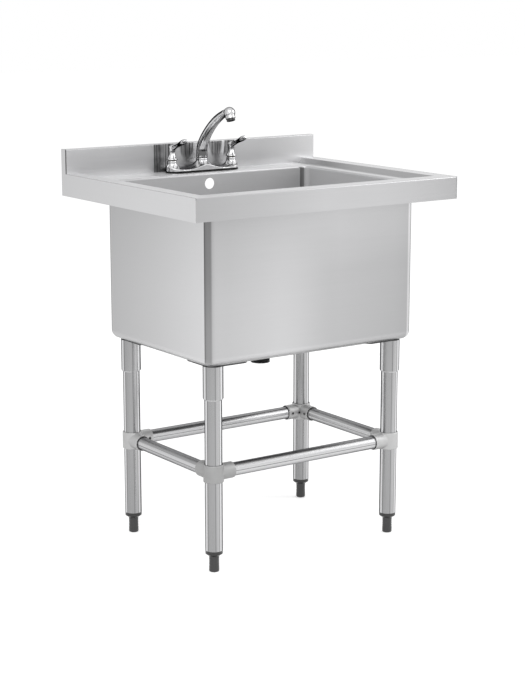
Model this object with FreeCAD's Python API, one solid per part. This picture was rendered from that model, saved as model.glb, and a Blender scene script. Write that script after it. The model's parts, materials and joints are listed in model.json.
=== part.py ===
"""A free-standing deep-bowl stainless sink on a tubular leg stand, with a two-lever deck mixer.

Millimetres, +Z up. The origin is on the floor under the middle of the worktop, the front faces -Y
and +X is to the right of someone standing at the sink.
"""
import FreeCAD, Part
import math
import os

# worktop
top_width = 750.0
top_depth = 600.0
rim_height = 900.0
sheet = 1.2
apron_height = 54.0
apron_lip = 12.0
rim_flat = 40.0
rim_slope = 8.0
recess = 12.0
rim_edge_radius = 3.0
seam_radius = 2.0
side_fold = 12.0
back_skirt = 20.0
upstand_height = 60.0
upstand_depth = 20.0

# bowl, measured inside; its depth is from the rim, and its length is what the two margins leave
bowl_width = 600.0
bowl_depth = 400.0
bowl_front_margin = 68.0
bowl_back_margin = 86.0
bowl_corner_radius = 22.0
bowl_floor_radius = 20.0
mouth_radius = 8.0
overflow_diameter = 28.0
overflow_drop = 41.0

# waste outlet
waste_recess = 3.0
waste_flange_radius = 43.0
waste_hole_radius = 27.0
waste_seal = 1.0
waste_throat = 8.0
waste_throat_gap = 1.5
strainer_hole_radius = 4.0
strainer_holes = 8
gasket_thickness = 3.0
waste_body_flange = 5.0
waste_collar_radius = 36.0
waste_tail_radius = 23.9
waste_tail_wall = 3.5
waste_drop = 60.0
waste_bar_width = 8.0
waste_bar_height = 8.0
waste_bar_drop = 14.0
waste_screw_radius = 3.0
waste_screw_head = 6.0

# leg stand
leg_inset = 40.0
leg_diameter = 41.3
tube_wall = 1.2
leg_entry = 70.0
plate_size = 110.0
plate_inset = 18.0
plate_thickness = 3.0
plate_corner = 18.0
socket_length = 80.0
socket_wall = 3.2
socket_chamfer = 2.2
slip = 0.2

# corner fittings and braces
brace_height = 240.0
brace_diameter = 32.0
brace_entry = 24.0
fitting_height = 43.0
fitting_wall = 3.3
fitting_reach = 52.0
fitting_edge = 1.2
mouth_gap = 1.8
mouth_depth = 3.0
grub_radius = 3.0
grub_socket_radius = 1.6
grub_socket_depth = 2.5
grub_from_mouth = 12.0
leg_grub_length = 5.0
touch = 0.05

# feet
foot_height = 52.5
foot_collar = 8.0
foot_taper = 5.5
foot_diameter = 24.0
foot_waist = 0.4
foot_edge = 2.5
foot_plug = 30.0
stud_radius = 5.95
stud_length = 45.0
foot_gap = 0.3

# mixer
tap_spacing = 178.0
tap_back_gap = 6.0
tap_gasket = 2.0
tap_length = 210.0
tap_depth = 50.0
tap_plinth = 7.0
tap_edge = 3.0
column_height = 29.0
column_radius = 12.0
column_flare = 20.0
hub_height = 32.0
hub_radius = 15.0
hub_flare = 40.0
flare_drop = 8.0
valve_radius = 10.0
valve_depth = 16.0
valve_rise = 1.4
spindle_radius = 4.0
spindle_length = 32.0
running = 0.05
lever_gap = 0.3
lever_skirt = 13.5
lever_waist = 7.5
lever_head = 8.5
lever_waist_rise = 20.0
lever_rise = 35.0
lever_reach = 66.0
lever_climb = 26.0
lever_width = 16.0
lever_thickness = 12.0
cap_radius = 5.5
cap_rise = 2.5
lever_screw_radius = 2.0
lever_screw_length = 14.0
spout_radius = 14.5
spout_neck = 9.5
spout_wall = 1.8
spout_rise = 14.7
spout_bend = 45.0
spout_neck_tilt = 55.0
spout_arch = 216.0
spout_tip_tilt = 20.0
nozzle_radius = 14.5
nozzle_mouth = 12.2
nozzle_length = 15.5
nozzle_tilt = 20.0
aerator_radius = 10.8
aerator_length = 9.0
aerator_seat = 4.0
aerator_screen = 2.0
spigot_radius = 7.95
spigot_length = 22.0
ring_wire = 0.9
spigot_grub_radius = 2.0
spigot_groove = 1.4
tail_radius = 10.48
tail_bore = 6.0
tail_drop = 50.0
tail_thread = 40.0
tail_pitch_radius = 9.9
tail_entry = 8.0
deck_hole_slack = 0.6
washer_radius = 17.0
washer_thickness = 2.0
backnut_across = 30.0
backnut_thickness = 7.0

# places that follow from the sizes above
side_x = top_width / 2
front_y = -top_depth / 2
back_y = top_depth / 2
upstand_y = back_y - upstand_depth
apron_z = rim_height - apron_height
skirt_z = rim_height - back_skirt
deck_z = rim_height - recess
upstand_z = rim_height + upstand_height
panel_x = side_x - sheet
bowl_x = bowl_width / 2
bowl_front = front_y + bowl_front_margin
bowl_back = back_y - bowl_back_margin
bowl_length = bowl_back - bowl_front
bowl_y = (bowl_front + bowl_back) / 2
floor_z = rim_height - bowl_depth
under_z = floor_z - sheet
floor_bend = min(bowl_floor_radius, bowl_corner_radius - sheet)
leg_x = bowl_x + sheet - leg_inset
leg_y = bowl_length / 2 + sheet - leg_inset
leg_radius = leg_diameter / 2
brace_radius = brace_diameter / 2
plate_z = under_z - plate_thickness
socket_radius = leg_radius + slip + socket_wall
collar_radius = leg_radius + slip + fitting_wall
stub_radius = brace_radius + slip + fitting_wall
tap_y = upstand_y - tap_back_gap - tap_depth / 2
tap_x = tap_spacing / 2
tap_z = deck_z + tap_gasket
column_z = tap_z + column_height
hub_z = tap_z + hub_height
lever_z = column_z + valve_rise + lever_gap

up = FreeCAD.Vector(0, 0, 1)
corners = {"front_left": (-1, -1), "front_right": (1, -1), "rear_left": (-1, 1), "rear_right": (1, 1)}
sides = {"hot": -1, "cold": 1}


def at(x, y, z):
    return FreeCAD.Vector(x, y, z)


def box(x0, x1, y0, y1, z0, z1):
    return Part.makeBox(x1 - x0, y1 - y0, z1 - z0, at(x0, y0, z0))


def rod(radius, start, end):
    """A round bar between two points."""
    along = end - start
    return Part.makeCylinder(radius, along.Length, start, along)


def pipe(radius, bore, start, end):
    return rod(radius, start, end).cut(rod(bore, start, end))


def bend(centre, radius, start, end):
    """An arc about centre, from one angle to another in degrees, as the middle and end point of a step."""
    points = []
    for angle in ((start + end) / 2, end):
        turn = math.radians(angle)
        points.append((centre[0] + radius * math.cos(turn), centre[1] + radius * math.sin(turn)))
    return tuple(points)


def outline(steps):
    """A closed face in the XZ plane. A step is a point, or an arc given by its middle and end."""
    here = at(steps[0][0], 0, steps[0][1])
    start = here
    edges = []
    for step in steps[1:]:
        if isinstance(step[0], tuple):
            middle, end = step
            there = at(end[0], 0, end[1])
            edges.append(Part.Arc(here, at(middle[0], 0, middle[1]), there).toShape())
        else:
            there = at(step[0], 0, step[1])
            edges.append(Part.makeLine(here, there))
        here = there
    if (here - start).Length > 1e-6:
        edges.append(Part.makeLine(here, start))
    return Part.Face(Part.Wire(edges))


def turned(steps, x=0.0, y=0.0):
    """A round piece turned about a vertical axis at x, y, from its outline of (radius, height) steps."""
    solid = outline(steps).revolve(at(0, 0, 0), up, 360)
    solid.translate(at(x, y, 0))
    return solid


def hexagon(radius, centre):
    """A flat hexagon, by the circle through its corners."""
    turns = [math.radians(60 * k) for k in range(7)]
    corner = [centre + at(radius * math.cos(t), radius * math.sin(t), 0) for t in turns]
    return Part.Face(Part.makePolygon(corner))


def rounded_block(x0, x1, y0, y1, radius, z0, z1):
    """An upright block with rounded vertical corners."""
    block = box(x0, x1, y0, y1, z0, z1)
    upright = [e for e in block.Edges if abs(e.tangentAt(e.FirstParameter).z) > 0.9]
    return block.makeFillet(min(radius, (x1 - x0) / 2 - 0.1, (y1 - y0) / 2 - 0.1), upright)


def edges_where(shape, test):
    """The straight edges whose two ends both pass the test."""
    found = []
    for edge in shape.Edges:
        if len(edge.Vertexes) == 2 and all(test(v.Point) for v in edge.Vertexes):
            found.append(edge)
    return found


def dome(radius, low, rise):
    """The step from a rim at (radius, low) over a round crown to the axis."""
    ball = (radius ** 2 + rise ** 2) / (2 * rise)
    return bend((0, low + rise - ball), ball, math.degrees(math.acos(radius / ball)), 90)


def near(a, b):
    return abs(a - b) < 1e-4


def loft(wires):
    return Part.makeLoft(wires, True, False)


def ring_wire_at(centre, direction, radius):
    return Part.Wire(Part.makeCircle(radius, centre, direction))


def mirrored(shape):
    return shape.mirror(at(0, 0, 0), at(1, 0, 0))


def joined(solids):
    return solids[0].multiFuse(solids[1:]).removeSplitter()


# worktop and its end panels


def recess_block(grow):
    """The sunk part of the worktop, sloping in from the rim; grow moves its walls out by a sheet."""
    slant = math.hypot(rim_slope, recess) / recess
    wires = []
    for height in (deck_z - grow, rim_height + recess):
        run = rim_flat + rim_slope * (rim_height - height) / recess - grow * slant
        x = side_x - run
        corner = [at(-x, front_y + run, height), at(x, front_y + run, height)]
        corner += [at(x, upstand_y + grow, height), at(-x, upstand_y + grow, height)]
        wires.append(Part.makePolygon(corner + corner[:1]))
    return Part.makeLoft(wires, True, True)


def worktop_hull(inset, low):
    """The outside of the folded top: a flat box and its upstand, all moved in by inset."""
    x = panel_x - inset
    front = front_y + inset
    back = back_y - inset
    top = rim_height - inset
    flat = box(-x, x, front, back, low, top)
    rolled = edges_where(flat, lambda p: near(p.z, top) and near(p.y, front))
    flat = flat.makeFillet(rim_edge_radius - inset, rolled)
    if inset == 0:
        seams = edges_where(flat, lambda p: near(p.z, top) and near(abs(p.x), x))
        flat = flat.makeFillet(seam_radius, seams)
    wall = box(-panel_x, panel_x, upstand_y + inset, back, low, upstand_z - inset)
    crown = edges_where(wall, lambda p: near(p.z, upstand_z - inset) and near(abs(p.x), panel_x))
    crown = [e for e in crown if not near(e.Vertexes[0].Point.x, e.Vertexes[1].Point.x)]
    wall = wall.makeFillet(rim_edge_radius - inset, crown)
    return flat.fuse(wall)


def make_worktop():
    outer = worktop_hull(0, apron_z).cut(recess_block(0))
    hollow = worktop_hull(sheet, apron_z - sheet)
    fold_z = rim_height - side_fold
    open_ends = box(-panel_x, panel_x, front_y + sheet, back_y - sheet, apron_z - sheet, fold_z)
    hollow = hollow.fuse(open_ends).cut(recess_block(sheet))
    top = outer.cut(hollow)
    top = top.cut(box(-panel_x, panel_x, upstand_y, back_y, apron_z, skirt_z))
    for y0, y1, z in ((front_y, front_y + apron_lip, apron_z), (back_y - apron_lip, back_y, skirt_z)):
        top = top.fuse(box(-panel_x, panel_x, y0, y1, z, z + sheet))
    edge = mouth_radius
    opening = rounded_block(-bowl_x - edge, bowl_x + edge, bowl_front - edge, bowl_back + edge,
                            bowl_corner_radius + edge, deck_z - 2 * sheet, deck_z + sheet)
    top = top.cut(opening)
    for side in sides.values():
        low = at(side * tap_x, tap_y, deck_z - 2 * sheet)
        top = top.cut(rod(tail_radius + deck_hole_slack, low, low + up * 3 * sheet))
    return top.removeSplitter()


def make_end_panel():
    """The left panel: a flat sheet with the height of the apron, a tall end, and a lip turned in below."""
    points = [(front_y, apron_z), (back_y, apron_z), (back_y, upstand_z), (upstand_y, upstand_z)]
    points += [(upstand_y, rim_height), (front_y, rim_height)]
    corner = [at(-side_x, y, z) for y, z in points]
    panel = Part.Face(Part.makePolygon(corner + corner[:1])).extrude(at(sheet, 0, 0))
    lip = box(0, apron_lip, front_y + apron_lip, back_y - apron_lip, apron_z, apron_z + sheet)
    lip.translate(at(-side_x, 0, 0))
    return joined([panel, lip])


# bowl


def bowl_section():
    """The bowl's wall from the floor under a corner's centre to the edge of its mouth."""
    r = bowl_corner_radius
    knee = (r - floor_bend, floor_z + floor_bend)
    lip = (r + mouth_radius, deck_z - mouth_radius)
    return outline([
        (0, floor_z),
        (knee[0], floor_z),
        bend(knee, floor_bend, -90, 0),
        (r, lip[1]),
        bend(lip, mouth_radius, 180, 90),
        (lip[0], deck_z - sheet),
        bend(lip, mouth_radius - sheet, 90, 180),
        (r + sheet, knee[1]),
        bend(knee, floor_bend + sheet, 0, -90),
        (0, under_z),
    ])


def make_bowl():
    section = bowl_section()
    x = bowl_x - bowl_corner_radius
    y = bowl_length / 2 - bowl_corner_radius
    solids = [box(-x, x, bowl_y - y, bowl_y + y, under_z, floor_z)]
    for turn, place, run in ((0, at(x, bowl_y - y, 0), 2 * y), (90, at(x, bowl_y + y, 0), 2 * x),
                             (180, at(-x, bowl_y + y, 0), 2 * y), (270, at(-x, bowl_y - y, 0), 2 * x)):
        side = section.extrude(at(0, run, 0))
        corner = section.revolve(at(0, 0, 0), up, -90)
        for piece in (side, corner):
            piece.rotate(at(0, 0, 0), up, turn)
            piece.translate(place)
            solids.append(piece)
    shell = joined(solids)
    hole_z = rim_height - overflow_drop
    shell = shell.cut(rod(overflow_diameter / 2, at(0, bowl_back - mouth_radius, hole_z),
                          at(0, bowl_back + mouth_radius, hole_z)))
    edge = waste_flange_radius + waste_throat_gap
    step = waste_recess
    low = at(0, bowl_y, under_z - sheet)
    shell = shell.cut(rod(edge + step + sheet, low, low + up * 3 * sheet))
    mitre = sheet * math.tan(math.radians(22.5))
    pressed = turned([
        (waste_hole_radius, floor_z - step),
        (edge, floor_z - step),
        (edge + step, floor_z),
        (edge + step + sheet, floor_z),
        (edge + step + sheet, under_z),
        (edge + step + mitre, under_z),
        (edge + mitre, under_z - step),
        (waste_hole_radius, under_z - step),
    ], 0, bowl_y)
    return joined([shell, pressed])


# waste outlet


def make_waste():
    seat_z = floor_z - waste_recess
    flange_z = seat_z + waste_seal
    throat = waste_hole_radius - waste_throat_gap
    grid_z = flange_z - waste_throat
    below_z = under_z - waste_recess
    seal = turned([(waste_hole_radius, seat_z), (waste_flange_radius, seat_z),
                   (waste_flange_radius, flange_z), (waste_hole_radius, flange_z)], 0, bowl_y)
    flange = turned([
        (0, grid_z),
        (throat, grid_z),
        (throat, flange_z),
        (waste_flange_radius, flange_z),
        (waste_flange_radius - sheet, flange_z + sheet),
        (throat, flange_z + sheet),
        (throat - sheet, flange_z),
        (throat - sheet, grid_z + sheet),
        (0, grid_z + sheet),
    ], 0, bowl_y)
    holes_at = (throat - sheet + waste_screw_head) / 2
    low = at(0, bowl_y, grid_z - sheet)
    for k in range(strainer_holes):
        turn = 2 * math.pi * k / strainer_holes
        hole = low + at(holes_at * math.cos(turn), holes_at * math.sin(turn), 0)
        flange = flange.cut(rod(strainer_hole_radius, hole, hole + up * 3 * sheet))
    flange = flange.cut(rod(waste_screw_radius + touch, low, low + up * 3 * sheet))
    body_z = below_z - gasket_thickness
    gasket = turned([(waste_hole_radius, body_z), (waste_collar_radius, body_z),
                     (waste_collar_radius, below_z), (waste_hole_radius, below_z)], 0, bowl_y)
    tail_z = under_z - waste_drop
    bore = waste_tail_radius - waste_tail_wall
    throat_z = body_z - waste_body_flange
    body = turned([
        (waste_collar_radius, body_z),
        (waste_collar_radius, throat_z),
        (waste_hole_radius + waste_tail_wall, throat_z),
        (waste_hole_radius + waste_tail_wall, throat_z - waste_tail_wall),
        (waste_tail_radius, throat_z - 2 * waste_tail_wall),
        (waste_tail_radius, tail_z),
        (bore, tail_z),
        (bore, throat_z - waste_tail_wall),
        (waste_hole_radius, throat_z),
        (waste_hole_radius, body_z),
    ], 0, bowl_y)
    bar_z = body_z - waste_bar_drop
    half = waste_bar_width / 2
    bar = box(-bore - touch, bore + touch, bowl_y - half, bowl_y + half, bar_z - waste_bar_height, bar_z)
    bar = bar.fuse(rod(waste_screw_head, at(0, bowl_y, bar_z - waste_bar_height), at(0, bowl_y, bar_z)))
    bar = bar.cut(rod(waste_screw_radius + touch, at(0, bowl_y, bar_z - 2 * waste_bar_height),
                      at(0, bowl_y, bar_z + waste_bar_height)))
    body = joined([body, bar])
    head_z = grid_z + sheet
    screw = turned([
        (0, bar_z - waste_bar_height),
        (waste_screw_radius, bar_z - waste_bar_height),
        (waste_screw_radius, head_z),
        (waste_screw_head, head_z),
        (waste_screw_head, head_z + waste_screw_radius / 2),
        bend((waste_screw_head / 2, head_z + waste_screw_radius / 2), waste_screw_head / 2, 0, 90),
        (0, head_z + waste_screw_radius / 2 + waste_screw_head / 2),
    ], 0, bowl_y)
    slot = box(-waste_screw_head, waste_screw_head, bowl_y - sheet / 2, bowl_y + sheet / 2,
               head_z + waste_screw_radius, head_z + 2 * waste_screw_head)
    screw = screw.cut(slot)
    return {"waste_upper_seal": seal, "waste_flange": flange, "waste_lower_gasket": gasket,
            "waste_body": body, "waste_screw": screw}


# leg stand


def grub_screw(start, end, radius=grub_radius, socket=grub_socket_radius, depth=grub_socket_depth):
    """A headless screw from its tip at start to its socket end, with a hexagon socket."""
    along = end - start
    shank = rod(radius, start, end)
    point = FreeCAD.Placement(end, FreeCAD.Rotation(up, along))
    key = hexagon(socket, at(0, 0, 0)).extrude(up * -depth)
    key.Placement = point
    return shank.cut(key)


def make_leg(sx, sy):
    """One corner of the stand below the bowl, with its brace fitting and its foot."""
    x = sx * leg_x
    y = bowl_y + sy * leg_y
    plate_out_x = bowl_x + sheet - plate_inset
    plate_out_y = bowl_length / 2 + sheet - plate_inset
    xs = sorted((sx * plate_out_x, sx * (plate_out_x - plate_size)))
    ys = sorted((bowl_y + sy * plate_out_y, bowl_y + sy * (plate_out_y - plate_size)))
    plate = rounded_block(xs[0], xs[1], ys[0], ys[1], plate_corner, plate_z, under_z)
    bore = leg_radius + slip
    low = plate_z - socket_length
    socket = turned([
        (bore, low),
        (socket_radius - socket_chamfer, low),
        (socket_radius, low + socket_chamfer * 1.5),
        (socket_radius, plate_z),
        (bore, plate_z),
    ], x, y)
    inward = at(-sx, -sy, 0).normalize()
    screw_z = low + socket_length / 2
    centre = at(x, y, screw_z)
    tip = centre + inward * (leg_radius + touch)
    end = centre + inward * socket_radius
    socket = socket.cut(rod(grub_radius + touch, tip - inward, end + inward))
    socket_screw = grub_screw(tip, end)
    tube = pipe(leg_radius, leg_radius - tube_wall, at(x, y, foot_height), at(x, y, low + leg_entry))
    fitting, fitting_screws = make_fitting(x, y, sx, sy)
    bush, foot = make_foot(x, y)
    return {"leg_plate": plate, "leg_socket": socket, "leg_tube": tube, "corner_fitting": fitting,
            "foot_bush": bush, "foot": foot}, socket_screw, fitting_screws


def make_fitting(x, y, sx, sy):
    """A cast corner fitting: a collar round the leg and two stubs that hold the braces."""
    centre = at(x, y, brace_height)
    half = fitting_height / 2
    collar = turned([
        (0, brace_height - half),
        (collar_radius - fitting_edge, brace_height - half),
        (collar_radius, brace_height - half + fitting_edge),
        (collar_radius, brace_height + half - fitting_edge),
        (collar_radius - fitting_edge, brace_height + half),
        (0, brace_height + half),
    ], x, y)
    ways = (at(-sx, 0, 0), at(0, -sy, 0))
    body = collar
    for way in ways:
        end = centre + way * fitting_reach
        stub = rod(stub_radius, centre, end)
        rim = [e for e in stub.Edges if (e.CenterOfMass - end).Length < 1e-3]
        body = body.fuse(stub.makeChamfer(fitting_edge, rim))
    body = body.cut(rod(leg_radius + slip, centre - up * fitting_height, centre + up * fitting_height))
    seat = fitting_reach - brace_entry
    screws = []
    for way, face in (ways, ways[::-1]):
        mouth = centre + way * fitting_reach
        body = body.cut(rod(brace_radius + slip, centre + way * (seat - touch), mouth))
        body = body.cut(rod(brace_radius + mouth_gap, mouth - way * mouth_depth, mouth))
        middle = centre + way * (fitting_reach - grub_from_mouth)
        tip = middle + face * (brace_radius + touch)
        end = middle + face * stub_radius
        body = body.cut(rod(grub_radius + touch, tip, end + face))
        screws.append(grub_screw(tip, end))
    inward = at(-sx, -sy, 0).normalize()
    tip = centre + inward * (leg_radius + touch)
    body = body.cut(rod(grub_radius + touch, tip, centre + inward * fitting_reach))
    screws.append(grub_screw(tip, tip + inward * leg_grub_length))
    return body.removeSplitter(), screws


def make_foot(x, y):
    """A plastic bush in the end of the leg, and the foot that screws into it."""
    collar_z = foot_height - foot_collar
    shoulder_z = collar_z - foot_taper
    foot_radius = foot_diameter / 2
    bore = stud_radius + running
    bush = turned([
        (bore, shoulder_z),
        (foot_radius + foot_edge / 2, shoulder_z),
        (leg_radius, collar_z),
        (leg_radius, foot_height),
        (leg_radius - tube_wall - touch, foot_height),
        (leg_radius - tube_wall - touch, foot_height + foot_plug),
        (bore, foot_height + foot_plug),
    ], x, y)
    top = shoulder_z - foot_gap
    foot = turned([
        (0, 0),
        (foot_radius - foot_edge, 0),
        bend((foot_radius - foot_edge, foot_edge), foot_edge, -90, 0),
        (foot_radius, top * 0.4),
        (foot_radius - foot_waist, top * 0.7),
        (foot_radius, top),
        (stud_radius, top),
        (stud_radius, top + stud_length),
        (0, top + stud_length),
    ], x, y)
    return bush, foot


def make_braces():
    """Four tubes between the fittings, each ending inside a stub."""
    end = fitting_reach - brace_entry
    x = leg_x - end
    y = leg_y - end
    bore = brace_radius - tube_wall
    braces = {}
    for name, side in (("brace_front", -1), ("brace_rear", 1)):
        start = at(-x, bowl_y + side * leg_y, brace_height)
        braces[name] = pipe(brace_radius, bore, start, start + at(2 * x, 0, 0))
    for name, side in (("brace_left", -1), ("brace_right", 1)):
        start = at(side * leg_x, bowl_y - y, brace_height)
        braces[name] = pipe(brace_radius, bore, start, start + at(0, 2 * y, 0))
    return braces


# mixer


def column(top, radius, flare, x):
    """A round post that flares out where it meets the plinth."""
    foot = tap_z + tap_plinth
    rise = top - flare_drop - foot
    sweep = (flare ** 2 + rise ** 2) / (2 * rise)
    turn = math.degrees(math.acos(1 - rise / sweep))
    return turned([
        (0, tap_z),
        (radius + flare, tap_z),
        (radius + flare, foot),
        bend((radius + flare, foot + sweep), sweep, 270, 270 - turn),
        (radius, top - tap_edge / 2),
        bend((radius - tap_edge / 2, top - tap_edge / 2), tap_edge / 2, 0, 90),
        (0, top),
    ], x, tap_y)


def tap_plan(low, high):
    """A block with the mixer's outline seen from above."""
    x = tap_length / 2
    y = tap_depth / 2
    return rounded_block(-x, x, tap_y - y, tap_y + y, y, low, high)


def make_tap_base():
    plinth_z = tap_z + tap_plinth
    plinth = tap_plan(tap_z, plinth_z)
    rim = [e for e in plinth.Edges if all(near(v.Z, plinth_z) for v in e.Vertexes)]
    posts = [column(hub_z, hub_radius, hub_flare, 0)]
    posts += [column(column_z, column_radius, column_flare, side * tap_x) for side in sides.values()]
    posts = posts[0].multiFuse(posts[1:]).common(tap_plan(tap_z, hub_z))
    body = plinth.makeFillet(tap_edge, rim).fuse(posts)
    for side in sides.values():
        mouth = at(side * tap_x, tap_y, column_z)
        foot = at(side * tap_x, tap_y, tap_z)
        body = body.cut(rod(valve_radius + touch, mouth - up * valve_depth, mouth))
        body = body.cut(rod(tail_pitch_radius + touch, foot, foot + up * tail_entry))
    mouth = at(0, tap_y, hub_z)
    body = body.cut(rod(spigot_radius + running, mouth - up * (spigot_length + touch), mouth))
    start, end = spigot_grub_ends()
    return body.cut(rod(spigot_grub_radius + touch, start, end + at(0, tap_edge, 0))).removeSplitter()


def spigot_grub_ends():
    z = hub_z - spigot_length / 4
    start = at(0, tap_y + spigot_radius - spigot_groove + running, z)
    return start, at(0, tap_y + hub_radius, z)


def make_tap_gasket():
    pad = tap_plan(deck_z, tap_z)
    for side in sides.values():
        low = at(side * tap_x, tap_y, deck_z)
        pad = pad.cut(rod(tail_radius + deck_hole_slack, low, low + up * tap_gasket))
    return pad


def make_valve(side):
    x = side * tap_x
    low = column_z - valve_depth
    valve = turned([
        (spindle_radius + running, low),
        (valve_radius, low),
        (valve_radius, column_z + valve_rise),
        (spindle_radius + running, column_z + valve_rise),
    ], x, tap_y)
    end = at(x, tap_y, low + valve_rise + spindle_length)
    spindle = rod(spindle_radius, end - up * spindle_length, end)
    return valve, spindle.cut(rod(lever_screw_radius, end - up * lever_screw_length / 2, end))


def make_lever(side):
    """A bell-shaped hub with a paddle that reaches forward over the bowl, its screw and its cap."""
    x = side * tap_x
    top = lever_z + lever_rise
    waist = lever_z + lever_waist_rise
    spindle_top = column_z - valve_depth + valve_rise + spindle_length
    hub = turned([
        (0, lever_z),
        (lever_skirt, lever_z),
        (lever_skirt, lever_z + tap_edge),
        ((lever_waist + tap_edge / 2, lever_z + lever_waist_rise / 2), (lever_waist, waist)),
        (lever_head, waist + tap_edge),
        (lever_head, top - tap_edge),
        (lever_head - tap_edge / 2, top),
        (0, top),
    ], x, tap_y)
    way = at(0, -1, 0)
    across = at(1, 0, 0)
    root = at(x, tap_y, waist + (top - waist) / 2)
    wide = lever_width / 2
    thick = lever_thickness / 2
    paddle = loft([
        blade(root, way, across, 0.0, lever_waist * 0.8, thick),
        blade(root, way, across, 0.35, lever_waist * 0.7, thick * 0.8),
        blade(root, way, across, 0.7, wide, thick),
        blade(root, way, across, 0.92, wide * 0.9, thick * 0.9),
        blade(root, way, across, 1.0, wide * 0.45, thick * 0.5),
    ])
    socket = rod(spindle_radius + touch, at(x, tap_y, lever_z), at(x, tap_y, spindle_top + touch))
    cap_z = top - cap_rise
    pocket = rod(cap_radius + touch, at(x, tap_y, cap_z), at(x, tap_y, top + 2 * cap_rise))
    shank = rod(lever_screw_radius + touch, at(x, tap_y, spindle_top), at(x, tap_y, cap_z))
    head_z = cap_z - cap_rise
    well = rod(cap_radius - cap_rise / 2 + touch, at(x, tap_y, head_z), at(x, tap_y, cap_z))
    lever = hub.fuse(paddle)
    for space in (socket, pocket, shank, well):
        lever = lever.cut(space)
    cap = turned([
        (0, cap_z),
        (cap_radius, cap_z),
        (cap_radius, top),
        dome(cap_radius, top, cap_rise),
    ], x, tap_y)
    screw_low = spindle_top - lever_screw_length / 2 + touch
    screw = turned([
        (0, screw_low),
        (lever_screw_radius - touch, screw_low),
        (lever_screw_radius - touch, head_z),
        (cap_radius - cap_rise / 2, head_z),
        (cap_radius - cap_rise / 2, cap_z - touch),
        (0, cap_z - touch),
    ], x, tap_y)
    return lever, screw, cap


def blade(root, way, across, share, wide, thick):
    """An oval section of a lever's paddle, at a share of its reach."""
    centre = root + way * (share * lever_reach) + up * (share * lever_climb)
    along = way * lever_reach + up * lever_climb
    normal = along.normalize()
    curve = Part.Ellipse(at(0, 0, 0), wide, thick)
    edge = curve.toShape()
    turn = FreeCAD.Rotation(across, normal.cross(across), normal, "ZXY")
    edge.Placement = FreeCAD.Placement(centre, turn)
    return Part.Wire(edge)


def spout_stations():
    """The spout's centre line as places, directions and how far along it each one is."""
    stations = [(tap_y, hub_z + foot_gap, 90.0), (tap_y, hub_z + foot_gap + spout_rise, 90.0)]
    for radius, last, steps in ((spout_bend, spout_neck_tilt, 3), (spout_arch, spout_tip_tilt, 4)):
        y, z, first = stations[-1]
        turn = math.radians(first)
        for k in range(steps):
            angle = first + (last - first) * (k + 1) / steps
            end = math.radians(angle)
            stations.append((y - radius * (math.sin(turn) - math.sin(end)),
                             z + radius * (math.cos(end) - math.cos(turn)), angle))
    return stations


def spout_loft(shrink):
    stations = spout_stations()
    wires = []
    run = 0.0
    total = sum(math.dist(a[:2], b[:2]) for a, b in zip(stations, stations[1:]))
    last = stations[0]
    for y, z, angle in stations:
        run += math.dist(last[:2], (y, z))
        last = (y, z)
        turn = math.radians(angle)
        radius = spout_radius + (spout_neck - spout_radius) * run / total - shrink
        wires.append(ring_wire_at(at(0, y, z), at(0, -math.cos(turn), math.sin(turn)), radius))
    return loft(wires)


def nozzle_axis():
    """The nozzle's ball centre and the way the water leaves."""
    y, z, angle = spout_stations()[-1]
    tilt = math.radians(nozzle_tilt)
    centre = at(0, y - nozzle_radius, z)
    return centre, at(0, -math.sin(tilt), -math.cos(tilt))


def make_spout():
    centre, down = nozzle_axis()
    y, z, angle = spout_stations()[0]
    solids = [spout_loft(0), Part.makeSphere(nozzle_radius, centre)]
    solids.append(rod(nozzle_mouth, centre, centre + down * nozzle_length))
    spigot_z = hub_z - spigot_length
    spigot = rod(spigot_radius, at(0, y, spigot_z), at(0, y, z))
    bottom = rod(spout_radius - spout_wall / 2, at(0, y, z), at(0, y, z + spout_wall))
    body = joined(solids).cut(spout_loft(spout_wall)).multiFuse([spigot, bottom])
    body = body.cut(rod(spigot_radius - 2 * spout_wall, at(0, y, spigot_z), at(0, y, z + spout_wall)))
    body = body.cut(Part.makeSphere(nozzle_radius - spout_wall, centre))
    seat = centre + down * (nozzle_length - aerator_seat)
    body = body.cut(rod(nozzle_mouth - spout_wall, centre, seat))
    body = body.cut(rod(aerator_radius, seat, seat + down * aerator_seat))
    grub_z = hub_z - spigot_length / 4
    seal_z = hub_z - spigot_length * 0.7
    for groove_z, half, depth in ((grub_z, spigot_grub_radius + foot_gap, spigot_groove),
                                  (seal_z, ring_wire + running, 2 * ring_wire + touch)):
        low = at(0, y, groove_z - half)
        high = at(0, y, groove_z + half)
        body = body.cut(pipe(spigot_radius + spout_wall, spigot_radius - depth, low, high))
    ring = turned([
        (spigot_radius, seal_z),
        bend((spigot_radius - ring_wire, seal_z), ring_wire, 0, 180),
        bend((spigot_radius - ring_wire, seal_z), ring_wire, 180, 360),
    ], 0, y)
    return body, ring


def make_aerator():
    centre, down = nozzle_axis()
    top = centre + down * (nozzle_length - aerator_seat + touch)
    end = top + down * aerator_length
    shell = pipe(aerator_radius - touch, aerator_radius - spout_wall, top, end)
    inner = end - down * (aerator_screen + sheet)
    screen = rod(aerator_radius - spout_wall, inner, inner + down * sheet)
    half = (aerator_radius - 2 * spout_wall) * 0.7
    for k in (-1, 0, 1):
        slot = box(-half, half, -sheet / 2, sheet / 2, -sheet, 3 * sheet)
        slot.Placement = FreeCAD.Placement(inner + at(0, k * 2.5 * sheet, 0), FreeCAD.Rotation(up, down))
        screen = screen.cut(slot)
    return joined([shell, screen])


def make_tap_tail(side):
    """A tail with its free thread at the crest size, and at the pitch size where other threads hold it."""
    low = deck_z - sheet - tail_drop
    high = tap_z + tail_entry - touch
    return turned([
        (tail_bore, low),
        (tail_radius, low),
        (tail_radius, low + tail_thread),
        (tail_pitch_radius, low + tail_thread),
        (tail_pitch_radius, high),
        (tail_bore, high),
    ], side * tap_x, tap_y)


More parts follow.
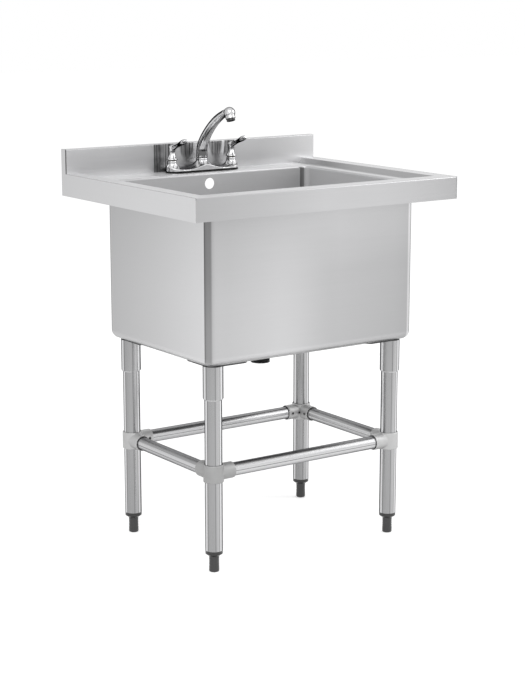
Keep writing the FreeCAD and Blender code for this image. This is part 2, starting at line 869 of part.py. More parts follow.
def make_tail_fixings():
    """The washers and hexagon nuts that pull the mixer down onto the deck."""
    washers = []
    nuts = []
    for side in sides.values():
        x = side * tap_x
        top = at(x, tap_y, deck_z - sheet)
        seat = top - up * washer_thickness
        washers.append(pipe(washer_radius, tail_radius + touch, seat, top))
        nut = hexagon(backnut_across / math.sqrt(3), seat).extrude(up * -backnut_thickness)
        nuts.append(nut.cut(rod(tail_pitch_radius + touch, seat - up * backnut_thickness, seat)))
    return Part.makeCompound(washers), Part.makeCompound(nuts)


def make_all():
    panel = make_end_panel()
    parts = {
        "worktop": make_worktop(),
        "end_panel_left": panel,
        "end_panel_right": mirrored(panel),
        "bowl": make_bowl(),
    }
    parts.update(make_waste())
    socket_screws = []
    fitting_screws = []
    for corner, (sx, sy) in corners.items():
        pieces, socket_screw, screws = make_leg(sx, sy)
        for name, piece in pieces.items():
            parts[name + "_" + corner] = piece
        socket_screws.append(socket_screw)
        fitting_screws += screws
    parts["socket_grub_screws"] = Part.makeCompound(socket_screws)
    parts["fitting_grub_screws"] = Part.makeCompound(fitting_screws)
    parts.update(make_braces())
    parts["tap_base"] = make_tap_base()
    parts["tap_gasket"] = make_tap_gasket()
    for name, side in sides.items():
        parts["valve_" + name], parts["valve_spindle_" + name] = make_valve(side)
        parts["lever_" + name], parts["lever_screw_" + name], parts["lever_cap_" + name] = make_lever(side)
        parts["tap_tail_" + name] = make_tap_tail(side)
    parts["spout"], parts["spout_seal"] = make_spout()
    parts["aerator"] = make_aerator()
    start, end = spigot_grub_ends()
    parts["spout_grub_screw"] = grub_screw(start, end, spigot_grub_radius, grub_socket_radius / 2)
    parts["tap_washers"], parts["tap_backnuts"] = make_tail_fixings()
    return parts


os.makedirs("parts", exist_ok=True)
for name, shape in make_all().items():
    sound = all(s.isValid() and s.isClosed() for s in shape.Solids)
    print(name, len(shape.Solids), "solids", round(shape.Volume / 1000, 2), "cm3", "" if sound else "broken")
    shape.exportStep("parts/" + name + ".step")
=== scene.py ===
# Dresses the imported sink: smooth skins over the CAD nodes, softened castings, steel and chrome.
import json
import math

import bpy
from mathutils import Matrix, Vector


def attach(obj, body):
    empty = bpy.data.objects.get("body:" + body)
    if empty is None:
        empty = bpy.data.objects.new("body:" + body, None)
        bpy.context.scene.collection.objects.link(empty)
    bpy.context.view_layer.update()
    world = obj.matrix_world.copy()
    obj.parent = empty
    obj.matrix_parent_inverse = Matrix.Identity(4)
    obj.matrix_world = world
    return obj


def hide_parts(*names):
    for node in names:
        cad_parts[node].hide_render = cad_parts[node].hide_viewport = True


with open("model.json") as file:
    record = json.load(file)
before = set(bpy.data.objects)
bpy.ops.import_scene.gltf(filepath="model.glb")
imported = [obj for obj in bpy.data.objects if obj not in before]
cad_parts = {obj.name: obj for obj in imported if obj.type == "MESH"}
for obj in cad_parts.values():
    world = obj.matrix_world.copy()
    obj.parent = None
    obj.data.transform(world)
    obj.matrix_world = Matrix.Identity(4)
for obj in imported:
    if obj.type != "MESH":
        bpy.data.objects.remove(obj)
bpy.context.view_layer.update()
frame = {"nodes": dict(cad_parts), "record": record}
bpy.ops.object.select_all(action="DESELECT")
print("frame loaded:", len(frame["nodes"]), "nodes")

corners = ("front_left", "front_right", "rear_left", "rear_right")
bodyOf = {}
for bodyName, members in frame["record"]["behaviour"]["bodies"].items():
    for member in members:
        bodyOf[member] = bodyName


def span(node):
    # the low and high corner of a CAD node
    corner = [frame["nodes"][node].matrix_world @ Vector(c) for c in frame["nodes"][node].bound_box]
    return ([min(c[k] for c in corner) for k in range(3)], [max(c[k] for c in corner) for k in range(3)])


def middle(node):
    low, high = span(node)
    return [(low[k] + high[k]) / 2 for k in range(3)]


# sizes within the pieces, in metres
upstandHeight = 0.060
bowl = {
    "mouthReach": 0.0068,  # how far the rolled mouth stands out past the outer wall
    "outerTurn": 0.0232,  # radius of the upright folds, outside
}
nozzle = {
    "behindTip": 0.0168,
    "underTop": 0.0145,
    "tilt": 20,
}

# places read from the frame, in metres
topHigh = span("worktop")[1]
bowlLow, bowlHigh = span("bowl")
panelX = topHigh[0]
rimZ = topHigh[2] - upstandHeight
deckZ = bowlHigh[2]
bowlY = middle("bowl")[1]
wallX = (bowlHigh[0] - bowlLow[0]) / 2 - bowl["mouthReach"]
wallY = (bowlHigh[1] - bowlLow[1]) / 2 - bowl["mouthReach"]
hubZ = span("tap_base")[1][2]
spoutLow, spoutHigh = span("spout")
nozzleMiddle = Vector((0, spoutLow[1] + nozzle["behindTip"], spoutHigh[2] - nozzle["underTop"]))

camera = {
    "place": (-2.3945, -3.4374, 1.3626),
    "turn": 35.007,
    "dip": 12.077,
    "lens": 89.04,
}
# fixed ways across the room: towards where the photograph was taken, and to the right of it
towards = (-0.564, -0.806, 0.18)
rightwards = (0.819, -0.574, 0.0)


def setCamera():
    data = bpy.data.cameras.new("photoCamera")
    data.lens = camera["lens"]
    data.sensor_width = 36
    data.clip_end = 60
    photo = bpy.data.objects.new("photoCamera", data)
    photo.location = camera["place"]
    photo.rotation_euler = (math.radians(90 - camera["dip"]), 0, math.radians(-camera["turn"]))
    bpy.context.scene.collection.objects.link(photo)
    bpy.context.scene.camera = photo


class Wire:
    # one output of a material's node, so that sums on it read as Python
    def __init__(self, finish, socket):
        self.finish = finish
        self.socket = socket

    def sum(self, operation, *values):
        return self.finish.node("ShaderNodeMath", {"operation": operation}, dict(enumerate(values)))

    def __add__(self, other):
        return self.sum("ADD", self, other)

    __radd__ = __add__

    def __sub__(self, other):
        return self.sum("SUBTRACT", self, other)

    def __rsub__(self, other):
        return self.sum("SUBTRACT", other, self)

    def __mul__(self, other):
        return self.sum("MULTIPLY", self, other)

    __rmul__ = __mul__

    def __truediv__(self, other):
        return self.sum("DIVIDE", self, other)

    def __pow__(self, other):
        return self.sum("POWER", self, other)

    def __neg__(self):
        return self.sum("MULTIPLY", self, -1.0)

    def __abs__(self):
        return self.sum("ABSOLUTE", self)

    def above(self, low, high):
        # 0 below low, 1 above high, smooth between
        settings = {"interpolation_type": "SMOOTHSTEP"}
        return self.finish.node("ShaderNodeMapRange", settings, {0: self, 1: low, 2: high, 3: 0.0, 4: 1.0})

    def between(self, low, high, soft):
        # 1 from low to high, 0 outside, with soft edges
        return self.above(low - soft, low + soft) * (1 - self.above(high - soft, high + soft))

    def ramp(self, low, high, stops):
        # tones set at shares of the way from low to high
        share = self.finish.node("ShaderNodeMapRange", {}, {0: self, 1: low, 2: high, 3: 0.0, 4: 1.0})
        return self.finish.node("ShaderNodeValToRGB", {"stops": stops}, {0: share})


class Finish:
    # one material and the nodes in it
    def __init__(self, name):
        self.material = bpy.data.materials.new(name)
        self.material.use_nodes = True
        self.tree = self.material.node_tree
        self.tree.nodes.clear()

    def node(self, kind, settings=None, inputs=None, output=0):
        made = self.tree.nodes.new(kind)
        for key, value in (settings or {}).items():
            if key == "stops":
                self.setStops(made.color_ramp, value)
            else:
                setattr(made, key, value)
        for key, value in (inputs or {}).items():
            self.feed(made.inputs[key], value)
        return Wire(self, made.outputs[output])

    def setStops(self, ramp, stops):
        for k, (place, tone) in enumerate(stops):
            stop = ramp.elements[k] if k < 2 else ramp.elements.new(place)
            stop.position = place
            stop.color = (tone, tone, tone, 1)

    def feed(self, socket, value):
        if isinstance(value, Wire):
            self.tree.links.new(value.socket, socket)
        else:
            socket.default_value = value

    def place(self):
        return self.node("ShaderNodeTexCoord", output="Object")

    def facing(self):
        return self.node("ShaderNodeTexCoord", output="Normal")

    def parts(self, vector):
        split = self.node("ShaderNodeSeparateXYZ", inputs={0: vector})
        return [Wire(self, output) for output in split.socket.node.outputs]

    def dot(self, vector, direction):
        settings = {"operation": "DOT_PRODUCT"}
        unit = tuple(Vector(direction).normalized())
        return self.node("ShaderNodeVectorMath", settings, {0: vector, 1: unit}, "Value")

    def noise(self, scale, stretch=(1, 1, 1), detail=2.0, roughness=0.5):
        mapped = self.node("ShaderNodeMapping", inputs={"Vector": self.place(), "Scale": stretch})
        return self.node("ShaderNodeTexNoise", inputs={
            "Vector": mapped, "Scale": scale, "Detail": detail, "Roughness": roughness})

    def blend(self, share, first, second):
        # a plain mix of two numbers
        return self.node("ShaderNodeMix", {"data_type": "FLOAT"}, {0: share, 2: first, 3: second})

    def larger(self, first, second):
        return self.node("ShaderNodeMath", {"operation": "MAXIMUM"}, {0: first, 1: second})

    def tinted(self, colour, tone):
        return self.node("ShaderNodeVectorMath", {"operation": "SCALE"}, {0: colour, "Scale": tone})

    def surface(self, inputs, height=None, strength=0.2, depth=0.0002):
        shader = self.tree.nodes.new("ShaderNodeBsdfPrincipled")
        for key, value in inputs.items():
            self.feed(shader.inputs[key], value)
        if height is not None:
            bump = {"Strength": strength, "Distance": depth, "Height": height}
            self.feed(shader.inputs["Normal"], self.node("ShaderNodeBump", inputs=bump))
        output = self.tree.nodes.new("ShaderNodeOutputMaterial")
        self.tree.links.new(shader.outputs[0], output.inputs["Surface"])
        return self.material


steelTint = (1.0, 1.0, 1.012)
edgeTint = (0.35, 0.35, 0.36, 1)


sheet = {
    "grainScale": 260.0,
    "grainStretch": 0.02,
    "cloudScale": 3.0,
    "mottle": 0.05,
    "roughness": 0.34,
    "mostScatter": 0.7,
}


def sheetSteel(name, shade):
    # satin sheet: fine grain, faint cloudiness, and the painted light and shade that shade works out
    finish = Finish(name)
    way = finish.parts(finish.facing())
    alongX = finish.noise(sheet["grainScale"], (sheet["grainStretch"], 1, 1), 3.0, 0.6)
    alongY = finish.noise(sheet["grainScale"], (1, sheet["grainStretch"], 1), 3.0, 0.6)
    grain = finish.blend(abs(way[0]).above(0.6, 0.8), alongX, alongY)
    cloud = finish.noise(sheet["cloudScale"])
    tone, scatter = shade(finish, finish.parts(finish.place()), way)
    tone = tone * (1 + (cloud - 0.5) * sheet["mottle"] + (grain - 0.5) * sheet["mottle"])
    return finish.surface({
        "Base Color": finish.tinted(steelTint, tone),
        "Metallic": 1 - scatter * sheet["mostScatter"],
        "Roughness": sheet["roughness"] + (grain - 0.5) * 0.12 + (cloud - 0.5) * 0.06,
    }, grain, 0.12, 0.0001)


# painted light and shade for the worktop: one tone for each face by which way it faces, a painted gradient
# along the apron, and darker painted shade on the right recess and slope
worktop = {
    "apron": ((0.0, 0.41), (0.24, 0.47), (0.47, 0.54), (0.68, 0.53), (0.9, 0.475), (1.0, 0.43)),
    "rim": 0.62,
    "recess": 0.58,
    "deck": 0.62,
    "rightRecessShade": 0.40,
    "slope": 0.60,
    "rightSlopeShade": 0.38,
    "seamShade": 0.16,
}


def worktopShade(finish, place, way):
    x, y, z = place
    # painted light and shade: each face takes a tone by which way it turns and where it lies
    front = (-way[1]).above(0.5, 0.9)
    upward = way[2].above(0.5, 0.9)
    apron = x.ramp(-panelX, panelX, worktop["apron"])
    deck = (1 - z.above(rimZ - 0.010, rimZ - 0.008)) * upward
    flat = finish.blend(z.above(rimZ - 0.002, rimZ - 0.001), worktop["recess"], worktop["rim"])
    flat = finish.blend(deck, flat, worktop["deck"])
    rightRecessShade = x.above(wallX, wallX + 0.02) * (1 - z.above(rimZ - 0.003, rimZ - 0.001))
    flat = finish.blend(rightRecessShade, flat, worktop["rightRecessShade"])
    rightSlopeShade = worktop["rightSlopeShade"] - 0.14 * y.above(0.0, 0.22)
    slope = finish.blend((-way[0]).above(0.3, 0.6), worktop["slope"], rightSlopeShade)
    tone = finish.blend(upward, slope, flat)
    tone = finish.blend(front, tone, finish.blend(y.above(0.0, 0.1), apron, upstandTone(finish, x, z)))
    # painted shade in the groove beside the left end panel
    seamShade = (-x).above(panelX - 0.0022, panelX - 0.0016) * z.above(rimZ - 0.006, rimZ - 0.003)
    return finish.blend(seamShade, tone, worktop["seamShade"]), deck


# painted light and reflection for the upstand: a painted gradient across it, the mixer painted on it as dark
# streaks and pale bows, a painted brightening along its foot, and painted shade on its top edge
upstand = {
    "plain": ((0.0, 0.70), (0.14, 0.70), (0.26, 0.66), (0.33, 0.66), (0.5, 0.58), (0.706, 0.49),
              (0.766, 0.45), (0.847, 0.46), (0.948, 0.50), (1.0, 0.52)),
    "reflectionStreak": ((0.0, 0.06), (0.35, 0.12), (0.55, 0.40), (0.75, 0.30), (1.0, 0.75)),
    "leftStreaks": (-0.124, -0.066),
    "rightStreaks": (0.080, 0.120),
    "bows": ((-0.026, 0.030), (0.062, 0.027)),  # middle and half width of each
    "bowMiddle": 0.062,
    "bowHalfHeight": 0.068,
    "foot": ((0.0, 0.0), (0.75, 0.1), (0.9, 0.5), (1.0, 0.4)),
    "topEdgeShade": 0.42,
}


def upstandTone(finish, x, z):
    # painted reflection: the mixer painted on the upstand as dark streaks, with a pale bow on both sides of
    # the hub, over a painted light gradient
    plain = x.ramp(-panelX, panelX, upstand["plain"])
    reflectionSmear = finish.noise(150.0, (1, 0, 0.015), 3.0, 0.7)
    reflectionStreak = reflectionSmear.ramp(0.3, 0.7, upstand["reflectionStreak"])
    tone = finish.blend(x.between(*upstand["leftStreaks"], 0.001), plain, reflectionStreak)
    right = x.between(*upstand["rightStreaks"], 0.001) * z.above(rimZ + 0.015, rimZ + 0.03)
    tone = finish.blend(right, tone, reflectionStreak * 0.6)
    up = (z - rimZ - upstand["bowMiddle"]) / upstand["bowHalfHeight"]
    for centre, reach in upstand["bows"]:
        out = ((x - centre) / reach) ** 2.0 + up ** 2.0
        bow = finish.blend(out.above(0.4, 0.65), reflectionStreak * 1.15, 0.66)
        bow = finish.blend(z.above(rimZ + 0.010, rimZ + 0.034), 0.60, bow)
        tone = finish.blend(1 - out.above(0.95, 1.15), tone, bow)
    # painted brightening low on the upstand, close to the deck
    foot = x.ramp(-panelX, panelX, upstand["foot"])
    tone = tone * (1 + foot * (1 - z.above(rimZ - 0.012, rimZ + 0.02)))
    # painted shade on the upstand's top edge
    topEdgeShade = z.above(rimZ + upstandHeight - 0.0028, rimZ + upstandHeight - 0.0012)
    return finish.blend(topEdgeShade, tone, upstand["topEdgeShade"])


# painted light and shade for the end panels: paler towards the front, with painted shade in the groove along
# the left panel's top and beside the upstand
endPanel = {
    "side": ((0.0, 0.615), (0.5, 0.588), (1.0, 0.535)),
    "leftSeamShade": 0.16,
}


def panelShade(finish, place, way):
    x, y = place[:2]
    side = y.ramp(-topHigh[1], topHigh[1], endPanel["side"])
    # painted shade in the groove along the left panel's top and its front face beside the upstand
    edge = way[2].above(0.7, 0.9) + (-way[1]).above(0.7, 0.9) * y.above(0.0, 0.1)
    return finish.blend(edge * (-x).above(0.0, 0.1), side, endPanel["leftSeamShade"]), 0.0


# painted light and shade for the bowl: gradients over the walls, a painted shadow under the apron, a painted
# highlight and painted shade round the right fold, painted shade round the back folds, on faces turned down
# and in the inner back right corner, and one tone for the mouth
bowlTones = {
    "leftSide": ((0.0, 0.59), (0.5, 0.485), (1.0, 0.405)),
    "front": ((0.0, 0.44), (0.1, 0.447), (0.32, 0.502), (0.62, 0.57), (0.89, 0.52), (1.0, 0.475)),
    "frontShadow": ((0.0, 0.29), (0.5, 0.23), (0.95, 0.0)),
    "fall": ((0.0, 1.0), (0.4, 1.03), (1.0, 0.98)),
    "rightFold": ((0.0, 1.0), (0.10, 1.0), (0.16, 1.45), (0.46, 1.45), (0.52, 0.4), (0.85, 0.4), (1.0, 0.9)),
    "backFold": ((0.0, 1.0), (0.10, 1.1), (0.2, 0.35), (0.6, 0.35), (1.0, 1.0)),
    "under": ((0.0, 1.0), (0.5, 1.0), (0.8, 0.85), (0.93, 0.5), (1.0, 0.4)),
    "inside": ((0.0, 0.53), (0.5, 0.52), (0.8, 0.46), (0.97, 0.40), (1.0, 0.62)),
    "insideFold": ((0.0, 1.0), (0.30, 0.90), (0.45, 0.85), (0.54, 0.35), (0.94, 0.30), (0.97, 0.9),
                   (0.99, 1.2), (1.0, 1.0)),
    "mouth": 0.66,
}
# painted shade and reflection at the bowl's front left fold
nearFold = {
    "gainX": 373,  # how fast the tones change along the front and along the left side, per metre
    "gainY": 243,
    "start": -4.0,
    "end": 8.0,
    "tones": ((0.0, 1.0), (0.055, 1.0), (0.065, 0.27), (0.13, 0.30), (0.18, 0.41), (0.32, 0.45),
              (0.60, 0.54), (0.67, 0.62), (0.72, 0.86), (0.84, 0.94), (1.0, 1.0)),
    "depth": 0.035,
    "foot": 0.85,
}


def nearFoldTone(finish, x, y, z):
    # painted shade and reflection at the front left fold: a fine dark line, then a grey band that softens
    # towards the front and pales low down
    depth = y - (bowlY - wallY)
    fold = (x + wallX) * nearFold["gainX"] - depth * nearFold["gainY"]
    tone = fold.ramp(nearFold["start"], nearFold["end"], nearFold["tones"])
    tone = tone ** (1 + 0.3 * z.above(bowlLow[2] + 0.05, bowlLow[2] + 0.25))
    tone = finish.blend(depth.above(nearFold["depth"] - 0.001, nearFold["depth"] + 0.001), tone, 1.0)
    return finish.blend(z.above(bowlLow[2] + 0.004, bowlLow[2] + 0.020), nearFold["foot"], tone)


def bowlShade(finish, place, way):
    x, y, z = place
    # painted light and shade as listed in bowlTones, with the painted fold shading from nearFoldTone
    leftSide = y.ramp(bowlY - wallY, bowlY + wallY, bowlTones["leftSide"])
    shadow = x.above(-0.12, 0.08) * z.ramp(bowlLow[2], deckZ, bowlTones["frontShadow"])
    front = x.ramp(-wallX, wallX, bowlTones["front"]) * (1 - shadow)
    fall = z.ramp(bowlLow[2], deckZ, bowlTones["fall"])
    rightFold = way[0].ramp(0.0, 1.0, bowlTones["rightFold"])
    backFold = way[1].ramp(0.0, 1.0, bowlTones["backFold"])
    outside = finish.blend((-way[0]).above(0.5, 0.9), front, leftSide)
    outside = outside * fall * backFold * rightFold * nearFoldTone(finish, x, y, z)
    outside = outside * (-way[2]).ramp(0.0, 1.0, bowlTones["under"])
    insideFold = (-way[1]).ramp(0.5, 1.0, bowlTones["insideFold"])
    inside = x.ramp(-wallX, wallX, bowlTones["inside"])
    inside = inside * finish.blend((-way[0]).above(0.02, 0.1), 1.0, insideFold)
    # the outer skin is what lies at the outer walls, round their folds, or faces down
    turn = bowl["outerTurn"]
    beyondX = finish.larger(abs(x) - wallX + turn, 0.0)
    beyondY = finish.larger(abs(y - bowlY) - wallY + turn, 0.0)
    outer = ((beyondX * beyondX + beyondY * beyondY) ** 0.5).above(turn - 0.0008, turn - 0.0004)
    outer = finish.larger(outer, (-way[2]).above(0.02, 0.06))
    tone = finish.blend(outer, inside, outside)
    return finish.blend(z.above(deckZ - 0.004, deckZ - 0.0015), tone, bowlTones["mouth"]), 1 - outer


# painted reflections on the tubes: tones round upright and level tubes by which way each face turns
tube = {
    "upright": ((0.0, 0.08), (0.035, 0.10), (0.06, 0.60), (0.14, 0.64), (0.165, 0.14), (0.19, 0.22),
                (0.22, 0.29), (0.59, 0.29), (0.62, 0.16), (0.66, 0.34), (0.82, 0.40), (0.845, 0.14),
                (0.875, 0.60), (0.94, 0.64), (0.965, 0.10), (1.0, 0.08)),
    "level": ((0.0, 0.30), (0.08, 0.40), (0.20, 0.44), (0.30, 0.50), (0.44, 0.52), (0.465, 0.16),
              (0.49, 0.18), (0.52, 0.50), (0.60, 0.60), (0.72, 0.60), (0.77, 0.36), (0.92, 0.34),
              (1.0, 0.36)),
    "cutEnd": 0.50,
    "grainScale": 300.0,
    "grainStretch": 0.02,
    "roughness": 0.28,
}


def tubeSteel(name, axis):
    # drawn tube with its grain along it and painted reflections: the soft bands of a room round it, by which
    # way each face turns
    finish = Finish(name)
    facing = finish.facing()
    stretch = [1, 1, 1]
    stretch[axis] = tube["grainStretch"]
    grain = finish.noise(tube["grainScale"], tuple(stretch), 3.0, 0.6)
    up = finish.parts(facing)[2]
    if axis == 2:
        bands = finish.dot(facing, rightwards).ramp(-1.0, 1.0, tube["upright"])
        bands = finish.blend((-up).above(0.2, 0.5), bands, tube["cutEnd"])
    else:
        bands = up.ramp(-1.0, 1.0, tube["level"])
    return finish.surface({
        "Base Color": finish.tinted(steelTint, bands * (1 + (grain - 0.5) * 0.10)),
        "Metallic": 1.0,
        "Specular Tint": edgeTint,
        "Roughness": tube["roughness"] + (grain - 0.5) * 0.1,
    }, grain, 0.1, 0.0001)


# painted reflections for chrome: bands by which way a face turns, and a tone for faces turned up
chrome = {
    "tint": (0.98, 0.98, 0.99),
    "bands": ((0.0, 0.02), (0.30, 0.03), (0.36, 0.40), (0.44, 0.66), (0.56, 0.78), (0.62, 0.34),
              (0.66, 0.12), (0.70, 0.26), (0.75, 0.70), (0.88, 0.86), (0.95, 0.56), (1.0, 0.72)),
    "wobbleScale": 45.0,
    "top": 0.50,
    "roughness": 0.05,
}


def chromeFinish(name, mark=None):
    # mirror finish with painted reflections: dark and bright bands that follow the shape, as in a bright
    # studio, and painted shade on faces turned down
    finish = Finish(name)
    facing = finish.facing()
    wobble = finish.noise(chrome["wobbleScale"])
    turn = abs(finish.dot(facing, towards) + 0.25 * finish.dot(facing, rightwards)) + (wobble - 0.5) * 0.10
    tone = turn.ramp(0.0, 1.0, chrome["bands"])
    # painted shade on faces turned down
    tone = tone * (1 - 0.6 * (-finish.dot(facing, (0.1, -0.2, 1.0))).above(0.45, 0.85))
    tone = finish.blend(finish.parts(facing)[2].above(0.75, 0.95), tone, chrome["top"] + 0.3 * wobble)
    scatter = 0.0
    if mark:
        tone, scatter = mark(finish, finish.place(), facing, turn, tone)
    return finish.surface({
        "Base Color": finish.tinted(chrome["tint"], tone),
        "Metallic": 1 - scatter * 0.8,
        "Specular Tint": edgeTint,
        "Roughness": chrome["roughness"] + wobble * 0.05,
    })


# heights on the spout are above its hub, and the ring is behind the nozzle's middle
spout = {
    "band": (0.005, 0.021),
    "glint": (0.022, 0.044),
    "flank": (0.040, 0.095),
    "ring": (0.0098, 0.0128),
    "outline": ((0.0, 0.06), (0.38, 0.16), (0.58, 0.50), (0.75, 0.62)),
}


def spoutMark(finish, place, facing, turn, tone):
    # painted reflections: a dark band low on the spout, a painted highlight as a glint and a pale flank
    # above it, and a darker nozzle with painted dark outlines behind a dark ring
    height = finish.parts(place)[2] - hubZ
    side = finish.dot(facing, rightwards)
    band = height.between(*spout["band"], 0.001) * side.between(-0.6, 0.9, 0.05)
    glint = height.between(*spout["glint"], 0.003) * side.between(-0.35, 0.45, 0.15)
    flank = height.between(*spout["flank"], 0.008) * side.between(0.0, 0.75, 0.12)
    tone = finish.blend(flank, tone, 0.60)
    tone = finish.blend(glint, tone, 0.85)
    tone = finish.blend(band, tone, 0.14 + 0.12 * turn.between(0.55, 0.75, 0.08))
    tilt = math.radians(nozzle["tilt"])
    back = Vector((0, math.cos(tilt), -math.sin(tilt)))
    along = finish.dot(place, back) - back.dot(nozzleMiddle)
    outline = abs(finish.dot(facing, towards)).ramp(0.0, 1.0, spout["outline"])
    tone = finish.blend(along.above(0.0096, 0.0100), (0.35 + tone) * outline, tone)
    return finish.blend(along.between(*spout["ring"], 0.0004), tone, 0.03), finish.larger(glint, flank)


def baseMark(finish, place, facing, turn, tone):
    # painted light: a pale front on the mixer's base, and a painted contact shadow as the dark line of its
    # foot on the deck
    height = finish.parts(place)[2] - deckZ
    front = (-finish.parts(facing)[1]).above(0.5, 0.9)
    tone = finish.blend(front, tone * 0.82, 0.25 + tone * 0.8)
    # painted contact shadow below this height
    clear = height.above(0.0045, 0.0055)
    return finish.blend(clear, 0.02, tone), front * clear * 0.7


casting = {
    "tone": 0.47,
    "frontLeftShade": 0.28,  # how much painted shade darkens the fitting at the front left
    "gritScale": 900.0,
    "roughness": 0.52,
    "metallic": 0.6,
}


def castFinish(name):
    # blasted casting: fine grit in the bump, darker where it is cloudy, painted light on faces turned up,
    # and painted shade on faces turned down and on the fitting at the front left
    finish = Finish(name)
    grit = finish.noise(casting["gritScale"], (1, 1, 1), 3.0, 0.7)
    cloud = finish.noise(35.0)
    up = finish.parts(finish.facing())[2]
    x, y = finish.parts(finish.place())[:2]
    frontLeftShadeMask = (-x).above(0.15, 0.2) * (-y).above(0.1, 0.15)
    # painted light on faces turned up, painted shade on the fitting at the front left
    tone = (casting["tone"] + 0.07 * up) * (1 - frontLeftShadeMask * casting["frontLeftShade"])
    tone = tone * (1 + (cloud - 0.5) * 0.2 + (grit - 0.5) * 0.14)
    return finish.surface({
        "Base Color": finish.tinted((1.0, 1.0, 1.0), tone),
        "Metallic": casting["metallic"],
        "Roughness": casting["roughness"] + (grit - 0.5) * 0.2,
    }, grit, 0.35, 0.0003)


def plainFinish(name, colour, roughness, metallic=0.0, grit=500.0, relief=0.2):
    # moulded, coated or turned small parts, told apart by colour, grit and gloss
    finish = Finish(name)
    fine = finish.noise(grit, (1, 1, 1), 3.0, 0.6)
    cloud = finish.noise(grit * 0.05)
    tone = 1 + (cloud - 0.5) * 0.25 + (fine - 0.5) * 0.15
    return finish.surface({
        "Base Color": finish.tinted(colour, tone),
        "Metallic": metallic,
        "Roughness": roughness + (fine - 0.5) * 0.15,
    }, fine, relief, 0.0002)


print("making finishes")
finishes = {
    "worktop": sheetSteel("satinSteelTop", worktopShade),
    "panel": sheetSteel("satinSteelPanel", panelShade),
    "bowl": sheetSteel("satinSteelBowl", bowlShade),
    "leg": tubeSteel("tubeSteelUpright", 2),
    "braceX": tubeSteel("tubeSteelAcross", 0),
    "braceY": tubeSteel("tubeSteelAlong", 1),
    "chrome": chromeFinish("chromeBody"),
    "spout": chromeFinish("chromeSpout", spoutMark),
    "base": chromeFinish("chromeBase", baseMark),
    "cast": castFinish("blastedCasting"),
    "plate": plainFinish("darkPlate", (0.035, 0.035, 0.038), 0.5),
    "foot": plainFinish("greyPlastic", (0.036, 0.036, 0.037), 0.38),
    "bush": plainFinish("darkBush", (0.022, 0.022, 0.022), 0.3),
    "black": plainFinish("blackPlastic", (0.010, 0.010, 0.011), 0.3),
    "rubber": plainFinish("blackRubber", (0.008, 0.008, 0.008), 0.7),
    "strainer": plainFinish("polishedPressing", (0.6, 0.6, 0.61), 0.22, 1.0, 300.0, 0.05),
    "screw": plainFinish("blackenedScrew", (0.03, 0.03, 0.03), 0.4, 0.5),
    "zinc": plainFinish("zincPlate", (0.5, 0.5, 0.5), 0.35, 1.0),
    "brass": plainFinish("turnedBrass", (0.62, 0.45, 0.2), 0.3, 1.0),
    "valve": plainFinish("dullValve", (0.10, 0.09, 0.07), 0.4, 1.0),
}


def makeActive(piece):
    bpy.ops.object.select_all(action="DESELECT")
    piece.select_set(True)
    bpy.context.view_layer.objects.active = piece


def applied(piece, kind, settings):
    made = piece.modifiers.new(kind.lower(), kind)
    for key, value in settings.items():
        setattr(made, key, value)
    makeActive(piece)
    bpy.ops.object.modifier_apply(modifier=made.name)


def finishPiece(piece, node, finish, angle):
    makeActive(piece)
    piece.data.materials.clear()
    piece.data.materials.append(finishes[finish])
    bpy.ops.object.shade_smooth_by_angle(angle=math.radians(angle))
    applied(piece, "WEIGHTED_NORMAL", {"weight": 100, "keep_sharp": True})
    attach(piece, bodyOf[node])
    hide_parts(node)


def mergedCopy(node):
    # a copy of a CAD node with its loose triangles merged
    piece = bpy.data.objects.new(node + "_skin", frame["nodes"][node].data.copy())
    bpy.context.scene.collection.objects.link(piece)
    makeActive(piece)
    bpy.ops.mesh.customdata_custom_splitnormals_clear()
    bpy.ops.object.mode_set(mode="EDIT")
    bpy.ops.mesh.select_all(action="SELECT")
    bpy.ops.mesh.remove_doubles(threshold=0.000002)
    bpy.ops.object.mode_set(mode="OBJECT")
    return piece


def skin(node, finish):
    finishPiece(mergedCopy(node), node, finish, 35)


def soften(node, finish, wear):
    # a cast or polished piece, with its inside corners filled and its edges worn round
    piece = mergedCopy(node)
    applied(piece, "REMESH", {"mode": "VOXEL", "voxel_size": wear["grain"]})
    applied(piece, "SMOOTH", {"factor": 0.5, "iterations": wear["rounds"]})
    finishPiece(piece, node, finish, 80)


def threaded(node, finish, low, high, thread):
    # a round piece cut into rings from low to high, every second one drawn in
    centre = middle(node)
    radius, pitch = thread["radius"], thread["pitch"]
    piece = mergedCopy(node)
    bpy.ops.object.mode_set(mode="EDIT")
    rings = int((high - low) / pitch)
    levels = [low + pitch * (k + 0.5 * half) for k in range(rings) for half in (0, 1)]
    for level in levels:
        bpy.ops.mesh.select_all(action="SELECT")
        bpy.ops.mesh.bisect(plane_co=(centre[0], centre[1], level), plane_no=(0, 0, 1))
    bpy.ops.object.mode_set(mode="OBJECT")
    roots = levels[1::2]
    for vertex in piece.data.vertices:
        out = math.hypot(vertex.co.x - centre[0], vertex.co.y - centre[1])
        vertex.select = out > radius * 0.97 and any(abs(vertex.co.z - root) < pitch * 0.1 for root in roots)
    for kind in (piece.data.edges, piece.data.polygons):
        for item in kind:
            item.select = False
    bpy.ops.object.mode_set(mode="EDIT")
    bpy.ops.mesh.select_mode(type="VERT")
    inward = 1 - thread["depth"] / radius
    bpy.ops.transform.resize(value=(inward, inward, 1), center_override=(centre[0], centre[1], low))
    bpy.ops.object.mode_set(mode="OBJECT")
    finishPiece(piece, node, finish, 35)


